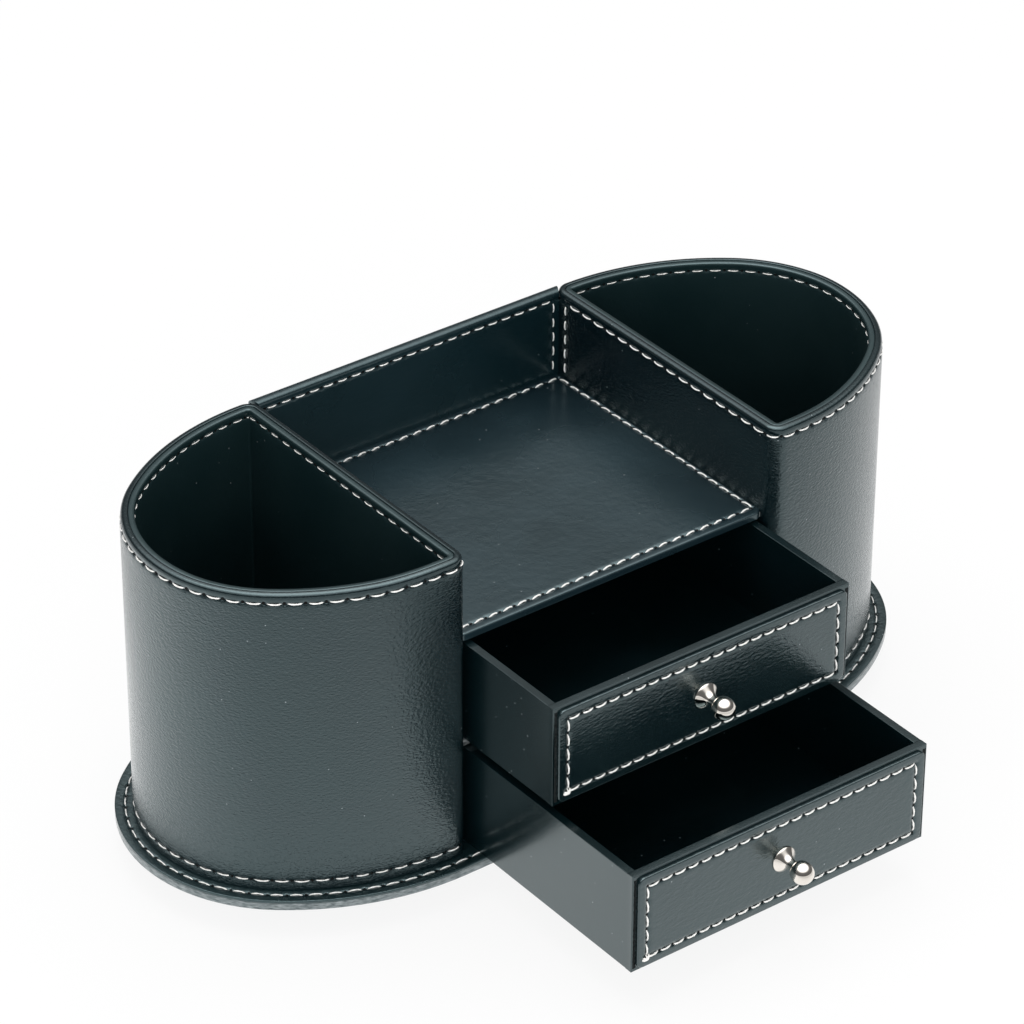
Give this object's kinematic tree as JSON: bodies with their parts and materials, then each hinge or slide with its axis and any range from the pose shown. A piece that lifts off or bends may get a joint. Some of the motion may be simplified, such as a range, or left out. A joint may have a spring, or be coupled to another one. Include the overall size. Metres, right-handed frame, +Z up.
{
  "type": "rotating desk organizer with drawers",
  "caption": "Stitched black leather desk organizer on a turntable: oval base, D-shaped pen cups at both ends, memo tray and stacked drawers with round metal knobs between them.",
  "frame": {"origin": "on the turning axis, at the centre of the face that rests on the desk", "axes": "+Z up along the turning axis, +X towards the right cup, -Y the front, where the drawers come out"},
  "size_m": [0.2416, 0.1802, 0.104],
  "materials": {
    "leather": "semi-gloss fine-grained black leathercloth",
    "edge_leather": "black leathercloth wrapped round a board's edge",
    "pad_leather": "glossy grained black leathercloth",
    "lining": "smooth black lining",
    "drawer_wrap": "fibreboard wrapped in smooth satin black paper",
    "board": "dark fibreboard, hidden under leather",
    "nickel": "polished nickel plate",
    "steel": "zinc-plated steel",
    "rubber": "matt non-slip rubber",
    "cage_plastic": "plain nylon"
  },
  "bodies": {
    "turntable_foot": {"foot_pad": "rubber", "foot_disc": "board", "lower_race": "steel", "lower_race_screws": "steel", "pivot_rivet": "steel"},
    "ball_cage": {"ball_cage": "cage_plastic", "bearing_balls": "steel"},
    "organizer": {"upper_race": "steel", "upper_race_screws": "steel", "base_board": "edge_leather", "base_leather": "leather", "cup_screws": "steel", "left_cup_floor": "lining", "left_cup_board": "board", "left_cup_leather": "leather", "left_cup_lining": "lining", "right_cup_floor": "lining", "right_cup_board": "board", "right_cup_leather": "leather", "right_cup_lining": "lining", "back_board": "board", "back_leather": "leather", "middle_shelf": "edge_leather", "tray_board": "board", "tray_leather": "leather"},
    "upper_drawer": {"upper_drawer_side_left": "drawer_wrap", "upper_drawer_side_right": "drawer_wrap", "upper_drawer_back": "drawer_wrap", "upper_drawer_bottom": "drawer_wrap", "upper_drawer_front": "drawer_wrap", "upper_drawer_front_pad": "pad_leather", "upper_drawer_knob": "nickel", "upper_drawer_knob_screw": "steel"},
    "lower_drawer": {"lower_drawer_side_left": "drawer_wrap", "lower_drawer_side_right": "drawer_wrap", "lower_drawer_back": "drawer_wrap", "lower_drawer_bottom": "drawer_wrap", "lower_drawer_front": "drawer_wrap", "lower_drawer_front_pad": "pad_leather", "lower_drawer_knob": "nickel", "lower_drawer_knob_screw": "steel"}
  },
  "joints": [
    {"name": "organizer_turn", "type": "hinge", "parent": "turntable_foot", "child": "organizer", "pos_m": [0, 0, 0.0087], "axis": [0, 0, 1], "continuous": true},
    {"name": "cage_turn", "type": "hinge", "parent": "turntable_foot", "child": "ball_cage", "pos_m": [0, 0, 0.0066], "axis": [0, 0, 1], "continuous": true},
    {"name": "upper_drawer_slide", "type": "slide", "parent": "organizer", "child": "upper_drawer", "axis": [0, -1, 0], "range_m": [-0.0339, 0.0461]},
    {"name": "lower_drawer_slide", "type": "slide", "parent": "organizer", "child": "lower_drawer", "axis": [0, -1, 0], "range_m": [-0.0671, 0.0129]}
  ],
  "couplings": [
    {"joint": "cage_turn", "follows": "organizer_turn", "ratio": 0.5}
  ]
}
